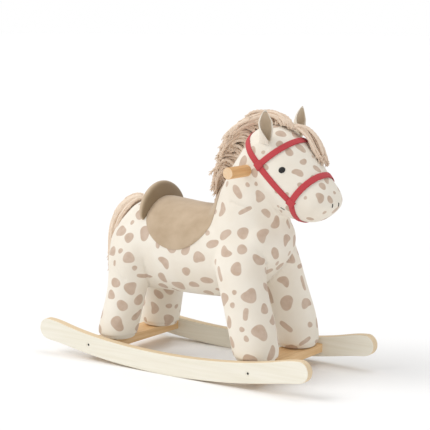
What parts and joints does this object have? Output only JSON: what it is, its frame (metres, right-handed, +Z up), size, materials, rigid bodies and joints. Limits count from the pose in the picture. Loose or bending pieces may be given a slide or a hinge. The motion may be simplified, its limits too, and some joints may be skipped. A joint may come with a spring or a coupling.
{
  "type": "rocking horse",
  "caption": "Stuffed fabric toddler rocking horse with padded saddle, yarn mane and tail, webbing bridle and wooden handle, on curved plywood rockers.",
  "frame": {"origin": "on the floor below the middle of the rockers", "axes": "+X towards the horse's nose, +Y towards its left side, +Z up"},
  "size_m": [0.67, 0.28, 0.5399],
  "materials": {
    "pale_plywood": "white-oiled birch plywood",
    "board_wood": "oiled solid pine",
    "frame_wood": "plain planed pine",
    "handle_wood": "turned beech, oiled",
    "steel": "zinc-plated",
    "spotted_cotton": "cream cotton with printed beige spots",
    "saddle_velvet": "short-pile velvet",
    "ear_velvet": "short-pile velvet",
    "red_webbing": "woven cotton tape",
    "black_thread": "satin-stitch embroidery",
    "yarn": "twisted cotton yarn"
  },
  "bodies": {
    "horse": {"barrel_nuts": "steel", "brow_band": "red_webbing", "ear_left": "spotted_cotton", "ear_lining_left": "ear_velvet", "ear_lining_right": "ear_velvet", "ear_right": "spotted_cotton", "eyes": "black_thread", "forelock": "yarn", "frame_screws": "steel", "front_crossboard": "board_wood", "handle_dowel": "handle_wood", "handle_screw": "steel", "head": "spotted_cotton", "headstall_strap": "red_webbing", "hip_block": "frame_wood", "leg_front_left": "spotted_cotton", "leg_front_right": "spotted_cotton", "leg_post_front_left": "frame_wood", "leg_post_front_right": "frame_wood", "leg_post_rear_left": "frame_wood", "leg_post_rear_right": "frame_wood", "leg_rear_left": "spotted_cotton", "leg_rear_right": "spotted_cotton", "leg_screws": "steel", "locating_dowels": "frame_wood", "mane": "yarn", "mouth_stitches": "black_thread", "neck": "spotted_cotton", "neck_gusset": "frame_wood", "neck_post": "frame_wood", "nose_band": "red_webbing", "nostril_stitches": "black_thread", "rear_crossboard": "board_wood", "rocker_bolts": "steel", "rocker_left": "pale_plywood", "rocker_right": "pale_plywood", "saddle_backrest": "saddle_velvet", "saddle_pad": "saddle_velvet", "seat_board": "frame_wood", "shoulder_block": "frame_wood", "spine_rail": "frame_wood", "strap_keepers": "red_webbing", "torso": "spotted_cotton"},
    "tail": {"tail": "yarn"}
  },
  "joints": [
    {"name": "tail_lift", "type": "hinge", "parent": "horse", "child": "tail", "pos_m": [-0.158, 0, 0.333], "axis": [0, 1, 0], "range_deg": [0, 75]}
  ]
}
